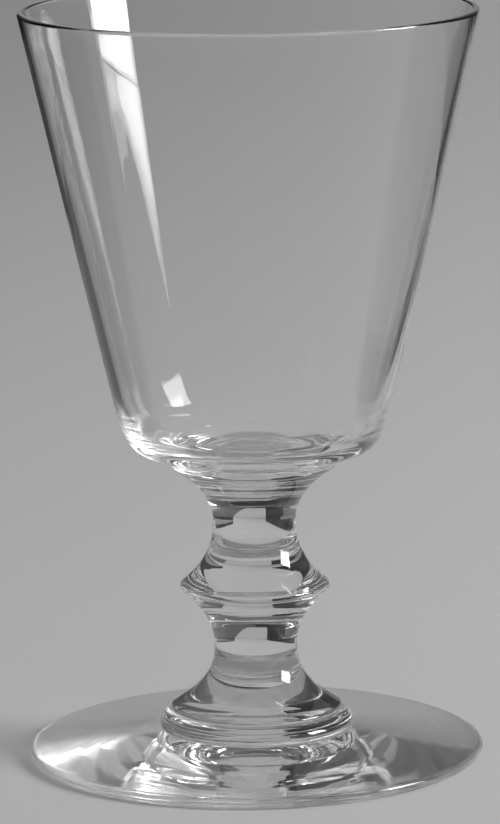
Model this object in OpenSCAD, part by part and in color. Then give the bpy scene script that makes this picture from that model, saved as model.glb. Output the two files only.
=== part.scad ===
// Water goblet of clear glass: a tapered bowl on a short knopped stem over a round foot.
// The stem is solid. Every piece is a gather of glass turned about one upright axis, and
// each stands face to face on the one below, where the hot glass was joined.
// Lengths are in millimetres. +Z is up, and the foot rests on z = 0.

/* [Bowl] */
// Outside diameter of the rim
rim_d = 92; // [80:1:110]
// Height of the bowl from its seat on the collar to the top of the rim
bowl_h = 91.8; // [70:0.1:130]
// Diameter that the straight wall points down to, at the height of the seat
bowl_base_d = 50.6; // [46:0.1:60]
// Thickness of the wall at the rim, which is rounded over the whole wall
rim_wall = 1.3; // [0.8:0.1:2.5]
// Thickness that the straight wall would grow to at the height of the seat
low_wall = 1.9; // [1.3:0.1:4]
// Angle that the wall turns in the gentle bend at its foot
wall_bend_deg = 12; // [2:1:14]
// Radius of that bend outside
outer_bend_r = 38; // [20:1:50]
// Radius of that bend inside
inner_bend_r = 34; // [20:1:50]
// Radius of the outside corner between that bend and the underside
corner_r = 5; // [3:0.1:8]
// Radius of the inside corner between that bend and the floor
inner_corner_r = 6; // [3:0.1:9]
// Angle at which the underside rises from the collar
underside_deg = 21.5; // [10:0.5:30]
// Depth of glass under the middle of the floor
floor_t = 4.4; // [3:0.1:9]
// Diameter of the level middle of the floor
floor_flat_d = 28; // [16:1:32]
// Angle at which the floor rises round its level middle
floor_rise_deg = 5; // [1:0.5:10]
// Radius at which the floor bends up round its level middle
floor_bend_r = 8; // [4:1:20]

/* [Collar] */
// Diameter of the collar that carries the bowl
collar_d = 33.1; // [28:0.1:38]
// Height of the collar
collar_h = 3.6; // [2:0.1:6]
// Radius of the collar's rounded lip
collar_lip_r = 0.5; // [0.3:0.1:0.9]
// Angle from upright at which the stem's flare meets the collar's lip
collar_flare_deg = 57.5; // [50:0.5:65]

/* [Upper stem] */
// Diameter of the upper waist
upper_waist_d = 17; // [10:0.1:22]
// Height of the collar's top above the upper waist
upper_neck_h = 12.5; // [9:0.1:20]

/* [Knop] */
// Diameter of the knop at its edge
knop_d = 30.4; // [26:0.1:36]
// Height of the knop's own gather
knop_h = 9; // [5:0.1:14]
// Height of the upper waist above the knop's edge
knop_top_h = 13; // [10:0.1:20]
// Height of the knop's edge above the lower waist
knop_low_h = 12.2; // [10:0.1:20]
// Radius of the knop's rounded edge
knop_edge_r = 1.1; // [0.5:0.1:2]
// Angle from upright at which the stem's flares meet the knop's edge
knop_flare_deg = 50; // [42:0.5:58]

/* [Lower stem] */
// Diameter of the lower waist
lower_waist_d = 16.9; // [10:0.1:22]
// Height of the lower waist above the boss
lower_neck_h = 13.7; // [10:0.1:20]
// Diameter of the ring that the lower stem ends in
ring_d = 34.8; // [30:0.1:38]
// Radius of that ring's rounded edge
ring_edge_r = 0.8; // [0.4:0.1:1.2]
// Angle from upright at which the flare meets that ring's edge
ring_flare_deg = 60; // [52:0.5:68]

/* [Boss] */
// Diameter of the boss on the foot
boss_d = 39.2; // [38:0.1:46]
// Height of the boss
boss_h = 3.3; // [3.1:0.1:8]
// Radius of the boss's upper edge
boss_top_r = 2.4; // [1:0.1:2.4]
// Radius of the boss's lower edge
boss_low_r = 0.5; // [0.3:0.1:0.7]

/* [Foot] */
// Diameter of the foot
foot_d = 92; // [75:1:110]
// Height of the foot under the boss
foot_h = 5.5; // [4.5:0.1:9]
// Thickness of the foot's rounded edge
foot_edge_t = 2.3; // [1.6:0.1:3.6]
// Power of the upper face's curve, where 1 is a straight cone
foot_sweep = 1; // [0.9:0.05:2.5]
// Width of the flat ring that the foot rests on
rest_w = 5; // [2:0.5:10]
// Height of the very shallow hollow under the foot
hollow_h = 0.05; // [0.05:0.05:1.2]

/* [Hidden] */

// Heights of the joints and waists, stacked from the table up
boss_z = foot_h;
stem_z = boss_z + boss_h;
lower_waist_z = stem_z + lower_neck_h;
knop_z = lower_waist_z + knop_low_h;
upper_waist_z = knop_z + knop_top_h;
seat_z = upper_waist_z + upper_neck_h;
rim_z = seat_z + bowl_h;
collar_z = seat_z - collar_h;
knop_top_z = knop_z + knop_h / 2;
knop_low_z = knop_z - knop_h / 2;

// Centres of the rounded edges, in the half section as [radius, height]
rim_c = [rim_d / 2 - rim_wall / 2, rim_z - rim_wall / 2];
lip_c = [collar_d / 2 - collar_lip_r, seat_z - collar_lip_r];
knop_c = [knop_d / 2 - knop_edge_r, knop_z];
ring_c = [ring_d / 2 - ring_edge_r, stem_z + ring_edge_r];
boss_top_c = [boss_d / 2 - boss_top_r, stem_z - boss_top_r];
boss_low_c = [boss_d / 2 - boss_low_r, boss_z + boss_low_r];
foot_c = [foot_d / 2 - foot_edge_t / 2, foot_edge_t / 2];

// Steps along a rounded edge and along a long curve, and round the axis
edge_steps = 10;
curve_steps = 18;
round_fn = 120;
// Points nearer to each other than this are one point
same = 0.0001;

function unit(deg) = [cos(deg), sin(deg)];

function arc(centre, r, from_deg, to_deg, steps = edge_steps) =
    [for (i = [0:steps]) centre + r * unit(from_deg + (to_deg - from_deg) * i / steps)];

// A flare widens from a waist to an edge, by a power that makes it meet the edge at edge_deg
function flare_r(z, waist, edge, edge_deg) =
    let (rise = abs(edge[1] - waist[1]))
    let (spread = edge[0] - waist[0])
    let (power = tan(edge_deg) * rise / spread)
    waist[0] + spread * pow(abs(z - waist[1]) / rise, power);

function flare(from_z, to_z, waist, edge, edge_deg) =
    [for (i = [0:curve_steps]) let (z = from_z + (to_z - from_z) * i / curve_steps)
        [flare_r(z, waist, edge, edge_deg), z]];

// A line is kept as its outward direction and its distance from the origin
function line(deg, point) = [deg, point * unit(deg)];

// Centre of the circle inside two lines that touches both
function centre_between(a, b, r) =
    let (na = unit(a[0]))
    let (nb = unit(b[0]))
    let (turn = na[0] * nb[1] - na[1] * nb[0])
    [(a[1] - r) * nb[1] - (b[1] - r) * na[1], (b[1] - r) * na[0] - (a[1] - r) * nb[0]] / turn;

function corner(a, b, r) = arc(centre_between(a, b, r), r, a[0], b[0], curve_steps);

// Corner from line a that opens out into a gentle bend of bend_deg before it reaches line b
function eased_corner(a, b, r, bend_r, bend_deg) =
    let (meet_deg = b[0] - bend_deg)
    let (inset = (bend_r - r) * (1 - cos(bend_deg)))
    let (centre = centre_between(a, [b[0], b[1] - inset], r))
    let (bend_centre = centre - (bend_r - r) * unit(meet_deg))
    concat(
        arc(centre, r, a[0], meet_deg, curve_steps),
        arc(bend_centre, bend_r, meet_deg, b[0]));

function reversed(points) = [for (i = [len(points) - 1:-1:0]) points[i]];

// Outline without the points that two neighbouring stretches share
function joined(points) =
    [for (i = [0:len(points) - 1]) if (i == 0 || norm(points[i] - points[i - 1]) > same) points[i]];

module turned(points) {
    rotate_extrude($fn = round_fn) polygon(joined(points));
}

// The two waists, and where each flare touches the rounded edge that it runs to
upper_waist = [upper_waist_d / 2, upper_waist_z];
lower_waist = [lower_waist_d / 2, lower_waist_z];
collar_edge = lip_c + collar_lip_r * unit(-collar_flare_deg);
knop_top_edge = knop_c + knop_edge_r * unit(knop_flare_deg);
knop_low_edge = knop_c + knop_edge_r * unit(-knop_flare_deg);
ring_edge = ring_c + ring_edge_r * unit(ring_flare_deg);

// The wall's outer and inner lines run down from the rim's round to these two points
wall_foot = [bowl_base_d / 2, seat_z];
to_rim = rim_c - wall_foot;
wall_deg = atan2(to_rim[0], to_rim[1]) + asin(rim_wall / 2 / norm(to_rim));
inner_foot = wall_foot - low_wall * unit(-wall_deg);
inner_to_rim = rim_c - inner_foot;
inner_deg = atan2(inner_to_rim[0], inner_to_rim[1]) - asin(rim_wall / 2 / norm(inner_to_rim));
floor_z = seat_z + floor_t;

outer_wall = line(-wall_deg, wall_foot);
underside = line(underside_deg - 90, [lip_c[0], seat_z]);
inner_wall = line(-inner_deg, inner_foot);
floor_rise = line(floor_rise_deg - 90, [floor_flat_d / 2, floor_z]);
floor_level = line(-90, [0, floor_z]);

// Blown bowl: straight tapered wall, eased corners at its foot and a rim melted round
module bowl() {
    color([0.88, 0.92, 0.93, 0.45])
        turned(concat(
            [[0, seat_z], [lip_c[0], seat_z]],
            eased_corner(underside, outer_wall, corner_r, outer_bend_r, wall_bend_deg),
            arc(rim_c, rim_wall / 2, -wall_deg, 180 - inner_deg),
            reversed(eased_corner(floor_rise, inner_wall, inner_corner_r, inner_bend_r, wall_bend_deg)),
            corner(floor_rise, floor_level, floor_bend_r),
            [[0, floor_z]]));
}

// Disc under the bowl, with the last of the stem's flare below its lip
module collar() {
    color([0.72, 0.8, 0.84, 0.8])
        turned(concat(
            [[0, collar_z]],
            flare(collar_z, collar_edge[1], upper_waist, collar_edge, collar_flare_deg),
            arc(lip_c, collar_lip_r, -collar_flare_deg, 90),
            [[0, seat_z]]));
}

// Solid waisted neck between the knop and the collar
module upper_stem() {
    color([0.82, 0.88, 0.9, 0.8])
        turned(concat(
            [[0, knop_top_z]],
            flare(knop_top_z, upper_waist_z, upper_waist, knop_top_edge, knop_flare_deg),
            flare(upper_waist_z, collar_z, upper_waist, collar_edge, collar_flare_deg),
            [[0, collar_z]]));
}

// Solid bulge with a narrow rounded edge halfway up the stem
module knop() {
    color([0.66, 0.76, 0.82, 0.8])
        turned(concat(
            [[0, knop_low_z]],
            flare(knop_low_z, knop_low_edge[1], lower_waist, knop_low_edge, knop_flare_deg),
            arc(knop_c, knop_edge_r, -knop_flare_deg, knop_flare_deg),
            flare(knop_top_edge[1], knop_top_z, upper_waist, knop_top_edge, knop_flare_deg),
            [[0, knop_top_z]]));
}

// Solid waisted neck that ends below in a ring on the boss
module lower_stem() {
    color([0.82, 0.88, 0.9, 0.8])
        turned(concat(
            [[0, stem_z]],
            arc(ring_c, ring_edge_r, -90, ring_flare_deg),
            flare(ring_edge[1], lower_waist_z, lower_waist, ring_edge, ring_flare_deg),
            flare(lower_waist_z, knop_low_z, lower_waist, knop_low_edge, knop_flare_deg),
            [[0, knop_low_z]]));
}

// Round boss that joins the stem to the foot
module foot_boss() {
    color([0.72, 0.8, 0.84, 0.8])
        turned(concat(
            [[0, boss_z]],
            arc(boss_low_c, boss_low_r, -90, 0),
            arc(boss_top_c, boss_top_r, 0, 90),
            [[0, stem_z]]));
}

// Upper face of the foot, from the boss out to the rounded edge
function foot_top() =
    let (run = foot_c[0] - boss_d / 2)
    [for (i = [curve_steps:-1:0]) let (share = i / curve_steps)
        [boss_d / 2 + run * share,
         foot_edge_t + (foot_h - foot_edge_t) * pow(1 - share, foot_sweep)]];

// Very shallow hollow under the foot, inside the ring that it rests on
function foot_hollow() =
    let (hollow_r = foot_c[0] - rest_w)
    [for (i = [0:curve_steps]) let (share = i / curve_steps)
        [hollow_r * share, hollow_h * (1 - share * share)]];

// Spread foot: a low cone above with a rounded edge, and nearly flat beneath
module foot() {
    color([0.84, 0.9, 0.92, 0.6])
        turned(concat(
            foot_hollow(),
            arc(foot_c, foot_edge_t / 2, -90, 90),
            foot_top(),
            [[0, foot_h]]));
}

bowl();
collar();
upper_stem();
knop();
lower_stem();
foot_boss();
foot();
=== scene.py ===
"""Looks of the water goblet: seven gathers of clear glass, joined hot, on a pale floor."""

import math

import bmesh
import bpy
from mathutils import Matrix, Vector


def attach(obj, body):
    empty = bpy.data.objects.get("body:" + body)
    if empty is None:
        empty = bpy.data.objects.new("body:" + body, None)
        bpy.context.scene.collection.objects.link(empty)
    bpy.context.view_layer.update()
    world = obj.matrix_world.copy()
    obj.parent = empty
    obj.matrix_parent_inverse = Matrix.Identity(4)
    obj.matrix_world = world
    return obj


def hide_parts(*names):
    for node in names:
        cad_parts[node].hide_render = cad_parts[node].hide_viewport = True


MM = 0.001

# The camera, fitted to the photograph. It looks along +Y from in front of the goblet.
CAMERA_SIDE = -0.6 * MM
CAMERA_BACK = 954 * MM
CAMERA_UP = 253.2 * MM
CAMERA_TILT = math.radians(10.85)
CAMERA_ROLL = math.radians(-0.7)
LENS_MM = 210.3
SENSOR_MM = 36
CAMERA_REACH = 50

# How finely the outlines are turned and rounded. A stretch that is a few times longer than its
# neighbour is straight, and its neighbour leaves it along its line.
SEGMENTS = 160
MAX_TURN = math.radians(3)
CORNER = math.radians(25)
LONG_STEP = 8 * MM
FEW_TIMES = 3
SAME = 0.003 * MM

# Each gather's two materials, by their place in its list
OUTSIDE, JOINT = 0, 1

GLASS_TINT = (0.989, 0.991, 0.991, 1)
GLASS_IOR = 1.52
WHITE = (1, 1, 1, 1)

# The waves that the hot glass keeps: how long they are on X, Y and Z, and how high
DRAW_LINES = (5 * MM, 5 * MM, 60 * MM)
DRAW_HEIGHT = 0.004 * MM
TURNING_RIPPLES = (18 * MM, 18 * MM, 2 * MM)
RIPPLE_HEIGHT = 0.003 * MM
FOOT_RINGS = 3.5 * MM
RING_HEIGHT = 0.003 * MM
RING_DISTORTION = 1.5
RING_DETAIL = 1
RING_DETAIL_SCALE = 0.3
NOISE_DETAIL = 2
NOISE_MIDDLE = 0.5

# Ring waves are this long at a scale of 1.
UNIT_RINGS = math.pi / 10

# Handling leaves fine marks everywhere. The foot's underside is duller, most where it rests.
MARKS = 9 * MM
MARKED = 0.012
UNDERSIDE = 0.3 * MM
UNDERSIDE_DULL = 0.025
REST_R = 39.9 * MM
REST_DULL = 0.06

# The plain floor. Its grey is painted with light and shade across it, as the window's light
# falling off would make it: lighter to the right behind the goblet and to the left before it,
# by no more than FLOOR_MOST.
FLOOR_R = 3.0
FLOOR_SEGMENTS = 96
FLOOR_DROP = 0.02 * MM
FLOOR_GREY = 0.47
FLOOR_LEVEL = 0.97
FLOOR_FALLOFF_TWIST = 0.8
FLOOR_MOST = 0.12

# The room: the level of its light, and what the camera sees of it past the floor's edge
AMBIENT = 0.50
BACKDROP = 0.33

# What follows shows in the glass alone. The goblet stands on a strip of pale paper, which
# rises behind it, in a dark room with a window to the right. Azimuths run from straight
# behind the goblet, +Y, towards +X, which is to its right. Levels are those of the room's
# light. Shares are those of the floor's own grey: off the paper they paint it darker, as
# painted shade of the dark room, and under the foot lighter too, as painted glare.
PAPER = 0.36
FAINT_PAPER = 0.13
DARK = 0.02
DIM = 0.10
PAPER_TOP = math.radians(26)
PAPER_LEFT = math.radians(-10.5)
PAPER_RIGHT = math.radians(21)
PAPER_RIGHT_LEAN = -0.5
OVERHEAD = math.radians(65)

# Mirrored rays see the paper higher up and wider there.
HIGH_PAPER_TOP = math.radians(58)
HIGH_PAPER_LEFT = math.radians(-20)
HIGH_PAPER_RIGHT = math.radians(40)

# Ahead of the camera only the paper is pale. All around there are pale panels with pale strips
# of floor before them, so that the glass looks clear from every side. Between the strips the
# floor is painted darker, as shade.
AHEAD_HALF = math.radians(60)
PANELS = 8
PANEL_STEP = math.tau / PANELS
PANEL_HALF = math.radians(13)
BETWEEN_STRIPS_SHARE = 0.30

# The paper on the floor, as rays that pass through the stem and rays that the glass mirrors
# show it. Off it the floor is painted darker, as shade of the dark room. It is darkest in a band
# just past the paper's right edge, then mid-grey on the right out to a set distance from the
# axis, and darker beyond it. To the left it is painted darker too.
STEM_LEFT = -72 * MM
STEM_RIGHT = 98 * MM
MIRROR_LEFT = -90 * MM
MIRROR_RIGHT = 160 * MM
SHADE_BAND = 42 * MM
NEAR_FLOOR_R = 470 * MM
SHADE_BAND_SHARE = 0.10
RIGHT_SHARE = 0.50
LEFT_SHARE = 0.28
STEM_LEFT_SHARE = 0.05
FAR_SHARE = 0.09
FAR_LEFT_SHARE = 0.65
FAR_LEFT_AZ = math.radians(-28)

# The foot's rounded edge mirrors the floor just past it, which is painted dark there, as the
# shade round the foot where it stands, from a little inside the foot's radius to a little outside it.
EDGE_INSIDE = 0.4 * MM
EDGE_OUTSIDE = 6 * MM
EDGE_LEFT = -1.5 * MM
EDGE_SHADE_SHARE = 0.08

# Counts of how often the glass has bent or mirrored a ray lie between these limits. A ray
# passes through the stem in two bends and through the bowl's two walls in four. After many
# mirrorings it sees no detail, and after very many only plain paper.
NEVER = 0.5
TWICE = 2.5
FOUR_TIMES = 4.5
MANY_TIMES = 6.5
LOST_AFTER = 20.5

# A ray mirrored many times sees a room that is pale to the right, most so near the window, and
# dark to the left.
GUIDED_DARK = 0.08
GUIDED_BLACK = 0.02
BLACK_FROM = math.radians(24)
GUIDED_PALE = 0.38
GUIDED_GLARE = 1.65
GLARE_FROM = math.radians(55)
GLARE_WIDTH = math.radians(57)

# Under the foot it sees the floor in the same way, parted by a line with a corner in it. Left of
# the line the floor is painted dark, as the shadow of the boss and stem. Right of it the floor is
# pale, with a painted glare that grows towards the window.
UNDER_FOOT_SHADOW_SHARE = 0.20
GUIDED_PALE_SHARE = 0.93
UNDER_FOOT_GLARE_RISE = 0.11 / MM
UNDER_FOOT_GLARE_MOST = 2.1
CORNER_X = 1.5 * MM
CORNER_Y = 35 * MM
NEAR_LEAN = 1.5
FAR_LEAN = -0.17

# A ray that has passed a single wall of the bowl leaves it at least this far out, and is hardly
# bent. From PLAIN_FROM on it sees the plain floor.
WALL_R = 10 * MM
PLAIN_FROM = 450 * MM

# The window is an upright light. Its outline is given as seen from the goblet, across to
# the right of its middle and up from the floor, in mm, over the sill and what stands on it.
# It is hazy low down and grows brighter with height.
WINDOW_FAR = 1200 * MM
WINDOW_AZ = math.radians(98.5)
WINDOW_RADIANCE = 24
HAZE_RADIANCE = 3.5
HAZE_FROM = 365 * MM
HAZE_RISE = 0.28 / MM
WINDOW_TOP = 950
SKYLINE = (
    (-265, 330), (-225, 350), (-150, 362), (-110, 368), (-73, 385), (-25, 380),
    (25, 378), (63, 368), (106, 362), (158, 362), (200, 350), (238, 346),
)

# How often a ray may be turned before it is given up
BOUNCES = 96
BENDS = 32
DIFFUSE_BOUNCES = 3
JOINTS_PASSED = 64


def seam_outline(node):
    """The half section of a turned CAD node, as (radius, height) points along its seam."""
    mesh = bmesh.new()
    mesh.from_mesh(node.data)
    bmesh.ops.remove_doubles(mesh, verts=mesh.verts, dist=SAME)
    on_seam = {v for v in mesh.verts if abs(v.co.y) < SAME and v.co.x > -SAME}
    links = {v: [] for v in on_seam}
    for edge in mesh.edges:
        a, b = edge.verts
        if a in on_seam and b in on_seam:
            links[a].append(b)
            links[b].append(a)
    ends = [v for v in on_seam if len(links[v]) == 1]
    here = min(ends, key=lambda v: (v.co.z, v.co.x))
    walked, outline = {here}, [(here.co.x, here.co.z)]
    while True:
        following = [v for v in links[here] if v not in walked]
        if not following:
            break
        here = following[0]
        walked.add(here)
        outline.append((here.co.x, here.co.z))
    mesh.free()
    return [Vector((max(r, 0.0), z)) for r, z in outline]


def turn_at(points, i):
    """How much the outline turns at point i, in radians."""
    if i in (0, len(points) - 1):
        return math.pi
    before = points[i] - points[i - 1]
    after = points[i + 1] - points[i]
    return abs(before.angle_signed(after))


def tangents(points, i):
    """The directions in which the outline reaches and leaves point i."""
    before = (points[i] - points[i - 1]).normalized() if i > 0 else None
    after = (points[i + 1] - points[i]).normalized() if i < len(points) - 1 else None
    if before is None or after is None or turn_at(points, i) > CORNER:
        return before or after, after or before
    length_in = (points[i] - points[i - 1]).length
    length_out = (points[i + 1] - points[i]).length
    if length_in > FEW_TIMES * length_out:
        return before, before
    if length_out > FEW_TIMES * length_in:
        return after, after
    middle = (before * length_out + after * length_in).normalized()
    return middle, middle


def curved(start, leaving, end, reaching, t):
    """The point at share t of the smooth curve with these ends and directions."""
    length = (end - start).length
    return (
        start * (2 * t**3 - 3 * t**2 + 1)
        + leaving * length * (t**3 - 2 * t**2 + t)
        + end * (3 * t**2 - 2 * t**3)
        + reaching * length * (t**3 - t**2)
    )


def rounded(points):
    """The outline with more points on its round stretches, and the indexes of its corners."""
    fine, corners = [points[0]], {0}
    for i in range(len(points) - 1):
        start, end = points[i], points[i + 1]
        leaving, reaching = tangents(points, i)[1], tangents(points, i + 1)[0]
        turn = abs(leaving.angle_signed(reaching))
        steps = max(1, math.ceil(turn / MAX_TURN), math.ceil((end - start).length / LONG_STEP))
        for k in range(1, steps + 1):
            fine.append(curved(start, leaving, end, reaching, k / steps))
        if turn_at(points, i + 1) > CORNER:
            corners.add(len(fine) - 1)
    return fine, corners


def ring_at(mesh, r, z):
    """A ring of vertices about Z, or the one vertex on Z where r is 0."""
    if r < SAME:
        return [mesh.verts.new((0, 0, z))]
    angles = [2 * math.pi * k / SEGMENTS for k in range(SEGMENTS)]
    return [mesh.verts.new((r * math.cos(a), r * math.sin(a), z)) for a in angles]


def band(mesh, lower, upper, material):
    """A band of faces between two rings, either of which may be one vertex."""
    for k in range(SEGMENTS):
        after = (k + 1) % SEGMENTS
        corners = [lower[k % len(lower)], lower[after % len(lower)],
                   upper[after % len(upper)], upper[k % len(upper)]]
        face = mesh.faces.new(list(dict.fromkeys(corners)))
        face.smooth = True
        face.material_index = material


def turned(name, outline, joints, glass, joint):
    """A closed mesh turned about Z. joints gives the joint's radius at the outline's two ends."""
    fine, corners = rounded(outline)
    mesh = bmesh.new()
    rings = [ring_at(mesh, r, z) for r, z in fine]
    for lower, upper in zip(rings, rings[1:]):
        band(mesh, lower, upper, OUTSIDE)
    sharp = [rings[i] for i in corners if len(rings[i]) > 1]
    for end, joint_r in ((0, joints[0]), (-1, joints[1])):
        edge, (r, z) = rings[end], fine[end]
        if len(edge) == 1:
            continue
        if joint_r and joint_r < r - SAME:
            inner = [mesh.verts.new((v.co.x * joint_r / r, v.co.y * joint_r / r, z)) for v in edge]
            band(mesh, *((inner, edge) if end == 0 else (edge, inner)), OUTSIDE)
            edge = inner
        if joint_r:
            sharp.append(edge)
        centre = [mesh.verts.new((0, 0, z))]
        band(mesh, *((centre, edge) if end == 0 else (edge, centre)), JOINT if joint_r else OUTSIDE)
    for ring in sharp:
        for k in range(SEGMENTS):
            mesh.edges.get((ring[k], ring[(k + 1) % SEGMENTS])).smooth = False
    bmesh.ops.recalc_face_normals(mesh, faces=mesh.faces)
    data = bpy.data.meshes.new(name)
    mesh.to_mesh(data)
    mesh.free()
    data.materials.append(glass)
    data.materials.append(joint)
    piece = bpy.data.objects.new(name, data)
    bpy.context.scene.collection.objects.link(piece)
    return piece


def node_tree(owner):
    """The emptied node tree of a material or world, as its nodes and links."""
    owner.use_nodes = True
    owner.node_tree.nodes.clear()
    return owner.node_tree.nodes, owner.node_tree.links


def finish_tree(nodes, links, shader, output="ShaderNodeOutputMaterial"):
    """Send the shader to the tree's output."""
    out = nodes.new(output)
    links.new(shader, out.inputs["Surface"])


def maths(nodes, links):
    """A function that adds Math nodes: one operation on a value, or chained over several."""
    def chain(operation, *values):
        total = values[0]
        for value in values[1:] or (None,):
            node = nodes.new("ShaderNodeMath")
            node.operation = operation
            for socket, given in zip(node.inputs, (total, value)):
                if isinstance(given, (int, float)):
                    socket.default_value = given
                elif given is not None:
                    links.new(given, socket)
            total = node.outputs[0]
        return total
    return chain


def mixed(chain, share, low, high):
    """low where share is 0 and high where it is 1."""
    return chain("ADD", chain("MULTIPLY", share, high), chain("MULTIPLY", opposite(chain, share), low))


def opposite(chain, share):
    """1 where share is 0, and 0 where it is 1."""
    return chain("SUBTRACT", 1.0, share)


def within(chain, value, low, high):
    """1 where value is between low and high, else 0."""
    return chain("MULTIPLY", chain("GREATER_THAN", value, low), chain("LESS_THAN", value, high))


def clamped(chain, value, low, high):
    """value, but at least low and at most high."""
    return chain("MINIMUM", chain("MAXIMUM", value, low), high)


def from_axis(chain, x, y):
    """How far a point is from the goblet's axis."""
    return chain("POWER", chain("ADD", chain("MULTIPLY", x, x), chain("MULTIPLY", y, y)), 0.5)


def axes(nodes, links, vector):
    """The X, Y and Z of a vector."""
    parts = nodes.new("ShaderNodeSeparateXYZ")
    links.new(vector, parts.inputs[0])
    return [parts.outputs[axis] for axis in "XYZ"]


def noise(nodes, links, place, lengths):
    """Noise from 0 to 1 whose waves have the lengths given on X, Y and Z."""
    stretch = nodes.new("ShaderNodeMapping")
    stretch.inputs["Scale"].default_value = [1 / length for length in lengths]
    links.new(place, stretch.inputs["Vector"])
    waves = nodes.new("ShaderNodeTexNoise")
    waves.inputs["Scale"].default_value = 1
    waves.inputs["Detail"].default_value = NOISE_DETAIL
    links.new(stretch.outputs["Vector"], waves.inputs["Vector"])
    return waves.outputs["Fac"]


def ring_waves(nodes, links, place, length):
    """Rings about Z, slightly uneven, from 0 to 1."""
    waves = nodes.new("ShaderNodeTexWave")
    waves.wave_type = "RINGS"
    waves.rings_direction = "Z"
    waves.inputs["Scale"].default_value = UNIT_RINGS / length
    waves.inputs["Distortion"].default_value = RING_DISTORTION
    waves.inputs["Detail"].default_value = RING_DETAIL
    waves.inputs["Detail Scale"].default_value = RING_DETAIL_SCALE
    links.new(place, waves.inputs["Vector"])
    return waves.outputs["Fac"]


def dull_below(chain, x, y, z):
    """How rough standing has made the underside, and more so from REST_R on, where it rests."""
    resting = chain("GREATER_THAN", from_axis(chain, x, y), REST_R)
    dull = chain("ADD", UNDERSIDE_DULL, chain("MULTIPLY", resting, REST_DULL - UNDERSIDE_DULL))
    return chain("MULTIPLY", chain("LESS_THAN", z, UNDERSIDE), dull)


def glass_material(name, waves_of, lengths, height, worn_below=False):
    """Clear glass with waves in its surface, fine marks and, below, the wear of standing."""
    material = bpy.data.materials.new(name)
    nodes, links = node_tree(material)
    chain = maths(nodes, links)
    surface = nodes.new("ShaderNodeBsdfPrincipled")
    surface.inputs["Base Color"].default_value = GLASS_TINT
    surface.inputs["IOR"].default_value = GLASS_IOR
    surface.inputs["Transmission Weight"].default_value = 1
    place = nodes.new("ShaderNodeTexCoord").outputs["Object"]
    bump = nodes.new("ShaderNodeBump")
    bump.inputs["Distance"].default_value = height
    links.new(waves_of(nodes, links, place, lengths), bump.inputs["Height"])
    links.new(bump.outputs["Normal"], surface.inputs["Normal"])
    over_middle = chain("SUBTRACT", noise(nodes, links, place, (MARKS,) * 3), NOISE_MIDDLE)
    rough = chain("MULTIPLY", chain("MAXIMUM", over_middle, 0.0), MARKED / NOISE_MIDDLE)
    if worn_below:
        rough = chain("ADD", rough, dull_below(chain, *axes(nodes, links, place)))
    links.new(rough, surface.inputs["Roughness"])
    finish_tree(nodes, links, surface.outputs["BSDF"])
    return material


def joint_material():
    """The fused faces inside the glass, which light passes as if they weren't there."""
    material = bpy.data.materials.new("fused_joint")
    nodes, links = node_tree(material)
    surface = nodes.new("ShaderNodeBsdfTransparent")
    finish_tree(nodes, links, surface.outputs["BSDF"])
    return material


def make_camera():
    """The camera, where the photograph was taken from."""
    data = bpy.data.cameras.new("camera")
    data.lens = LENS_MM
    data.sensor_width = SENSOR_MM
    data.clip_end = CAMERA_REACH
    camera = bpy.data.objects.new("camera", data)
    camera.location = (CAMERA_SIDE, -CAMERA_BACK, CAMERA_UP)
    camera.rotation_mode = "XYZ"
    camera.rotation_euler = (math.pi / 2 - CAMERA_TILT, 0, 0)
    bpy.context.scene.collection.objects.link(camera)
    camera.rotation_euler.rotate_axis("Z", CAMERA_ROLL)
    bpy.context.scene.camera = camera


def folded(chain, azimuth):
    """The angle from the nearest pale panel, and 1 ahead, where only the paper is pale."""
    turned_by = chain("ADD", azimuth, (PANELS + 0.5) * PANEL_STEP)
    over_edge = chain("FLOORED_MODULO", turned_by, PANEL_STEP)
    from_panel = chain("ABSOLUTE", chain("SUBTRACT", over_edge, PANEL_STEP / 2))
    ahead = chain("LESS_THAN", chain("ABSOLUTE", azimuth), AHEAD_HALF)
    return from_panel, ahead


def mirrored_past(chain, path, times):
    """1 for a ray that the glass has mirrored more often than this, else 0."""
    return chain("GREATER_THAN", path.outputs["Glossy Depth"], times)


def guided_on(chain, path):
    """1 for a ray that is mirrored many times, but not yet lost, else 0."""
    return within(chain, path.outputs["Glossy Depth"], MANY_TIMES, LOST_AFTER)


def seen_in_glass(chain, path):
    """1 for a ray that the glass bends or mirrors on its way from the camera, else 0."""
    glassy = chain("MAXIMUM", path.outputs["Is Glossy Ray"], path.outputs["Is Transmission Ray"])
    return chain("MULTIPLY", glassy, chain("LESS_THAN", path.outputs["Diffuse Depth"], NEVER))


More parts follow.
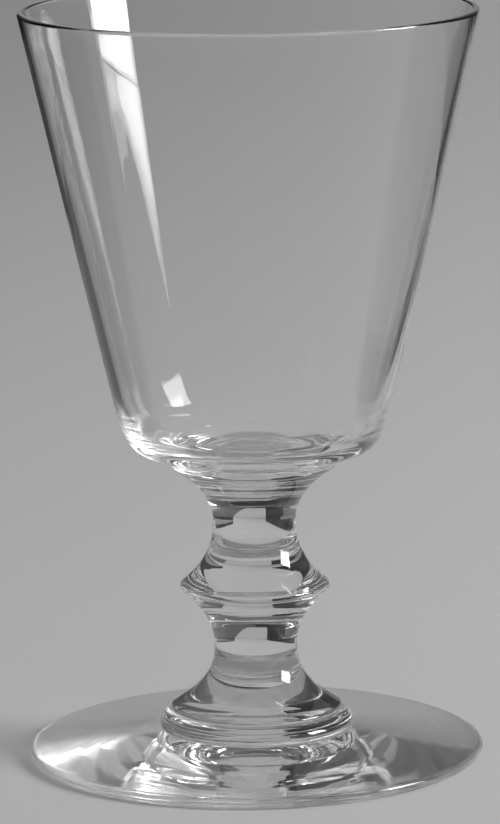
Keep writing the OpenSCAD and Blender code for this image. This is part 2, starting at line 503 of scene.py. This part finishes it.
def share_ahead(chain, x, y, r, azimuth, mirrored):
    """The floor's share ahead: full on the paper, and less on its two sides, as painted shade of the
    dark room.
    """
    left = mixed(chain, mirrored, STEM_LEFT, MIRROR_LEFT)
    right = mixed(chain, mirrored, STEM_RIGHT, MIRROR_RIGHT)
    along = within(chain, x, left, right)
    rising = within(chain, azimuth, PAPER_LEFT, PAPER_RIGHT)
    nearer = chain("MULTIPLY", chain("LESS_THAN", y, 0.0), mirrored)
    on_paper = chain("MAXIMUM", along, rising, nearer)
    # Painted shade: off the paper the floor is painted darker, most in a band just past the paper's
    # right edge.
    on_near_floor = chain("LESS_THAN", r, NEAR_FLOOR_R)
    past_shade_band = chain("GREATER_THAN", x, chain("ADD", right, SHADE_BAND))
    near_right = mixed(chain, past_shade_band, SHADE_BAND_SHARE, RIGHT_SHARE)
    near_left = mixed(chain, mirrored, STEM_LEFT_SHARE, LEFT_SHARE)
    far_left = mixed(chain, chain("LESS_THAN", azimuth, FAR_LEFT_AZ), FAR_SHARE, FAR_LEFT_SHARE)
    right_off_paper = mixed(chain, on_near_floor, FAR_SHARE, near_right)
    left_off_paper = mixed(chain, on_near_floor, far_left, near_left)
    off_paper = mixed(chain, chain("GREATER_THAN", x, 0.0), left_off_paper, right_off_paper)
    return mixed(chain, on_paper, off_paper, 1.0)


def share_around(chain, r, from_panel):
    """The floor's share in other directions: full on the strips before the panels, and less between
    them, as painted shade of the dark room.
    """
    beside = chain("LESS_THAN", chain("MULTIPLY", r, chain("SINE", from_panel)), STEM_RIGHT)
    on_strip = chain("MAXIMUM", beside, chain("LESS_THAN", from_panel, PANEL_HALF))
    return mixed(chain, on_strip, BETWEEN_STRIPS_SHARE, 1.0)


def share_under_foot(chain, x, y):
    """The floor's share under the foot, to a ray that is mirrored many times: painted shadow left of
    the line, painted glare to the right.
    """
    past_corner = chain("SUBTRACT", y, CORNER_Y)
    near_line = chain("MULTIPLY", past_corner, NEAR_LEAN)
    far_line = chain("MULTIPLY", past_corner, FAR_LEAN)
    parting = chain("ADD", CORNER_X, chain("MINIMUM", near_line, far_line))
    right_side = chain("GREATER_THAN", x, parting)
    glare = chain("MULTIPLY", chain("MAXIMUM", x, 0.0), UNDER_FOOT_GLARE_RISE)
    pale = chain("MINIMUM", chain("ADD", GUIDED_PALE_SHARE, glare), UNDER_FOOT_GLARE_MOST)
    return mixed(chain, right_side, UNDER_FOOT_SHADOW_SHARE, pale)


def share_in_glass(chain, path, foot_r, x, y):
    """The share of its own grey that the floor shows in the glass."""
    r = from_axis(chain, x, y)
    azimuth = chain("ARCTAN2", x, y)
    from_panel, ahead = folded(chain, azimuth)
    mirrored = mirrored_past(chain, path, NEVER)
    shown = mixed(chain, chain("MAXIMUM", ahead, mirrored), share_around(chain, r, from_panel),
                  share_ahead(chain, x, y, r, azimuth, mirrored))
    behind = chain("GREATER_THAN", y, 0.0)
    # Painted shadow and glare on the floor under the foot, behind its middle, to rays mirrored many
    # times.
    under_foot = chain("MULTIPLY", guided_on(chain, path), behind, chain("LESS_THAN", r, foot_r))
    shown = mixed(chain, under_foot, shown, share_under_foot(chain, x, y))
    # Painted shade: behind the foot, from just left of its middle rightwards, the floor just past its
    # edge is painted dark to mirrored rays.
    painted_edge_shade = chain("MULTIPLY", mirrored, behind, chain("GREATER_THAN", x, EDGE_LEFT),
                      within(chain, r, foot_r - EDGE_INSIDE, foot_r + EDGE_OUTSIDE))
    shown = mixed(chain, painted_edge_shade, shown, EDGE_SHADE_SHARE)
    two_walls = chain("GREATER_THAN", path.outputs["Transmission Depth"], TWICE)
    from_wall = chain("GREATER_THAN", chain("SUBTRACT", r, path.outputs["Ray Length"]), WALL_R)
    one_wall = chain("MULTIPLY", from_wall, chain("GREATER_THAN", r, PLAIN_FROM))
    through_bowl = chain("MULTIPLY", opposite(chain, mirrored), chain("MAXIMUM", two_walls, one_wall))
    plain = chain("MAXIMUM", through_bowl, mirrored_past(chain, path, LOST_AFTER))
    return mixed(chain, plain, shown, 1.0)


def new_object(name, mesh):
    """An object made from a bmesh, and its own new material."""
    data = bpy.data.meshes.new(name)
    mesh.to_mesh(data)
    mesh.free()
    thing = bpy.data.objects.new(name, data)
    bpy.context.scene.collection.objects.link(thing)
    material = bpy.data.materials.new(name)
    data.materials.append(material)
    return thing, material


def make_floor(foot_r):
    """The floor, its grey painted with light falling off across it. In the glass it shows the paper
    instead, and off the paper painted shade of the dark room.
    """
    mesh = bmesh.new()
    bmesh.ops.create_circle(mesh, cap_ends=True, segments=FLOOR_SEGMENTS, radius=FLOOR_R)
    floor, material = new_object("floor", mesh)
    floor.location.z = -FLOOR_DROP
    nodes, links = node_tree(material)
    chain = maths(nodes, links)
    x, y = axes(nodes, links, nodes.new("ShaderNodeTexCoord").outputs["Object"])[:2]
    path = nodes.new("ShaderNodeLightPath")
    share = mixed(chain, seen_in_glass(chain, path), 1.0, share_in_glass(chain, path, foot_r, x, y))
    # Painted light: the floor's grey is lighter and darker across it, as light falling off from the
    # window would make it.
    painted_falloff = chain("ADD", FLOOR_LEVEL, chain("MULTIPLY", x, y, FLOOR_FALLOFF_TWIST))
    level = clamped(chain, painted_falloff, 1 - FLOOR_MOST, 1 + FLOOR_MOST)
    surface = nodes.new("ShaderNodeBsdfDiffuse")
    links.new(chain("MULTIPLY", share, level, FLOOR_GREY), surface.inputs["Color"])
    finish_tree(nodes, links, surface.outputs["BSDF"])


def make_window():
    """An upright window of light, over the skyline that stands before it."""
    outline = list(SKYLINE) + [(SKYLINE[-1][0], WINDOW_TOP), (SKYLINE[0][0], WINDOW_TOP)]
    mesh = bmesh.new()
    face = mesh.faces.new([mesh.verts.new((across * MM, 0, up * MM)) for across, up in outline])
    bmesh.ops.triangulate(mesh, faces=[face])
    window, material = new_object("window", mesh)
    window.location = (WINDOW_FAR * math.sin(WINDOW_AZ), WINDOW_FAR * math.cos(WINDOW_AZ), 0)
    window.rotation_euler.z = -WINDOW_AZ
    window.visible_camera = False
    nodes, links = node_tree(material)
    chain = maths(nodes, links)
    z = axes(nodes, links, nodes.new("ShaderNodeTexCoord").outputs["Object"])[2]
    over_haze = chain("MULTIPLY", chain("SUBTRACT", z, HAZE_FROM), HAZE_RISE)
    radiance = clamped(chain, over_haze, HAZE_RADIANCE, WINDOW_RADIANCE)
    lost = mirrored_past(chain, nodes.new("ShaderNodeLightPath"), LOST_AFTER)
    light = nodes.new("ShaderNodeEmission")
    links.new(mixed(chain, lost, radiance, PAPER), light.inputs["Strength"])
    finish_tree(nodes, links, light.outputs[0])


def detailed_room(chain, azimuth, elevation, mirrored):
    """The room's level: the paper, the panels and, between them, the dark."""
    below = chain("LESS_THAN", elevation, PAPER_TOP)
    right = chain("ADD", PAPER_RIGHT, chain("MULTIPLY", elevation, PAPER_RIGHT_LEAN))
    paper = within(chain, azimuth, PAPER_LEFT, right)
    from_panel, ahead = folded(chain, azimuth)
    in_panel = chain("MULTIPLY", chain("LESS_THAN", from_panel, PANEL_HALF), opposite(chain, mirrored))
    beside = chain("GREATER_THAN", chain("ABSOLUTE", azimuth), PANEL_STEP / 2)
    faint = chain("MULTIPLY", in_panel, ahead, beside, below)
    full = chain("MULTIPLY", in_panel, opposite(chain, ahead))
    left = chain("MULTIPLY", ahead, chain("LESS_THAN", azimuth, 0.0))
    overhead = chain("GREATER_THAN", elevation, OVERHEAD)
    dark = mixed(chain, chain("MAXIMUM", left, overhead), DIM, DARK)
    high = chain("MULTIPLY", mirrored, opposite(chain, below),
                 chain("LESS_THAN", elevation, HIGH_PAPER_TOP),
                 within(chain, azimuth, HIGH_PAPER_LEFT, HIGH_PAPER_RIGHT))
    low = chain("MULTIPLY", chain("MAXIMUM", full, paper), below)
    return mixed(chain, chain("MAXIMUM", low, high), mixed(chain, faint, dark, FAINT_PAPER), PAPER)


def guided_room(chain, azimuth, elevation):
    """The room's level to a ray that is mirrored many times."""
    near_window = chain("DIVIDE", chain("SUBTRACT", azimuth, GLARE_FROM), GLARE_WIDTH)
    glaring = clamped(chain, near_window, 0.0, 1.0)
    pale = chain("ADD", GUIDED_PALE, chain("MULTIPLY", glaring, glaring, GUIDED_GLARE))
    unlit = mixed(chain, chain("GREATER_THAN", elevation, BLACK_FROM), GUIDED_DARK, GUIDED_BLACK)
    return mixed(chain, chain("GREATER_THAN", azimuth, 0.0), unlit, pale)


def room_in_glass(nodes, links, chain, path):
    """The room's level in each direction, as the glass shows it."""
    x, y, z = axes(nodes, links, nodes.new("ShaderNodeTexCoord").outputs["Generated"])
    azimuth, elevation = chain("ARCTAN2", x, y), chain("ARCSINE", z)
    mirrored = mirrored_past(chain, path, NEVER)
    room = mixed(chain, guided_on(chain, path), detailed_room(chain, azimuth, elevation, mirrored),
                 guided_room(chain, azimuth, elevation))
    two_walls = within(chain, path.outputs["Transmission Depth"], TWICE, FOUR_TIMES)
    through_bowl = chain("MULTIPLY", opposite(chain, mirrored), two_walls)
    plain = chain("MAXIMUM", through_bowl, mirrored_past(chain, path, LOST_AFTER))
    return mixed(chain, plain, room, PAPER)


def make_world():
    """Even light from all around. In the glass it shows the room instead."""
    world = bpy.data.worlds.new("world")
    bpy.context.scene.world = world
    nodes, links = node_tree(world)
    chain = maths(nodes, links)
    path = nodes.new("ShaderNodeLightPath")
    light = mixed(chain, path.outputs["Is Camera Ray"], AMBIENT, BACKDROP)
    mix = nodes.new("ShaderNodeMixShader")
    links.new(seen_in_glass(chain, path), mix.inputs["Fac"])
    for socket, strength in ((1, light), (2, room_in_glass(nodes, links, chain, path))):
        background = nodes.new("ShaderNodeBackground")
        background.inputs["Color"].default_value = WHITE
        links.new(strength, background.inputs["Strength"])
        links.new(background.outputs[0], mix.inputs[socket])
    finish_tree(nodes, links, mix.outputs[0], "ShaderNodeOutputWorld")


def set_render():
    """Plain view settings, and rays that may be turned often enough for thick glass."""
    scene = bpy.context.scene
    scene.view_settings.view_transform = "Standard"
    cycles = scene.cycles
    cycles.max_bounces = BOUNCES
    cycles.glossy_bounces = BOUNCES
    cycles.transmission_bounces = BENDS
    cycles.diffuse_bounces = DIFFUSE_BOUNCES
    cycles.transparent_max_bounces = JOINTS_PASSED
    cycles.blur_glossy = 0
    cycles.use_denoising = True


# From the bottom up, each gather and the slot that its finish comes from
GATHERS = (
    ("foot", "foot_glass"),
    ("foot_boss", "stem_glass"),
    ("lower_stem", "stem_glass"),
    ("knop", "stem_glass"),
    ("upper_stem", "stem_glass"),
    ("collar", "stem_glass"),
    ("bowl", "bowl_glass"),
)

# Each slot's waves, how long and high they are, and whether it is worn below
GLASSES = {
    "bowl_glass": (noise, DRAW_LINES, DRAW_HEIGHT),
    "stem_glass": (noise, TURNING_RIPPLES, RIPPLE_HEIGHT),
    "foot_glass": (ring_waves, FOOT_RINGS, RING_HEIGHT, True),
}


def make_gathers(outlines):
    """The seven gathers, each turned from its CAD node's outline and joined to the next."""
    glasses = {slot: glass_material(slot, *given) for slot, given in GLASSES.items()}
    joint = joint_material()
    names = [node for node, slot in GATHERS]
    radii = [min(outlines[a][-1].x, outlines[b][0].x) for a, b in zip(names, names[1:])]
    for (node, slot), below, above in zip(GATHERS, [0] + radii, radii + [0]):
        piece = turned(node + "_glass", outlines[node], (below, above), glasses[slot], joint)
        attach(piece, "root")
        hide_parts(node)


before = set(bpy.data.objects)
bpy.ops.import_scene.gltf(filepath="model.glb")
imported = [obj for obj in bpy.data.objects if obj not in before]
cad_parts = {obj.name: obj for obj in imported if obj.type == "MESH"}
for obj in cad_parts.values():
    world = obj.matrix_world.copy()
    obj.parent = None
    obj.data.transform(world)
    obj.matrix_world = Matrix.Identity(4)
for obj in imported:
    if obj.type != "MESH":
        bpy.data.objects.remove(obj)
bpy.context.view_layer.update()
outlines = {node: seam_outline(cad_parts[node]) for node, slot in GATHERS}
make_camera()
make_floor(max(r for r, z in outlines["foot"]))
make_window()
make_world()
make_gathers(outlines)
set_render()
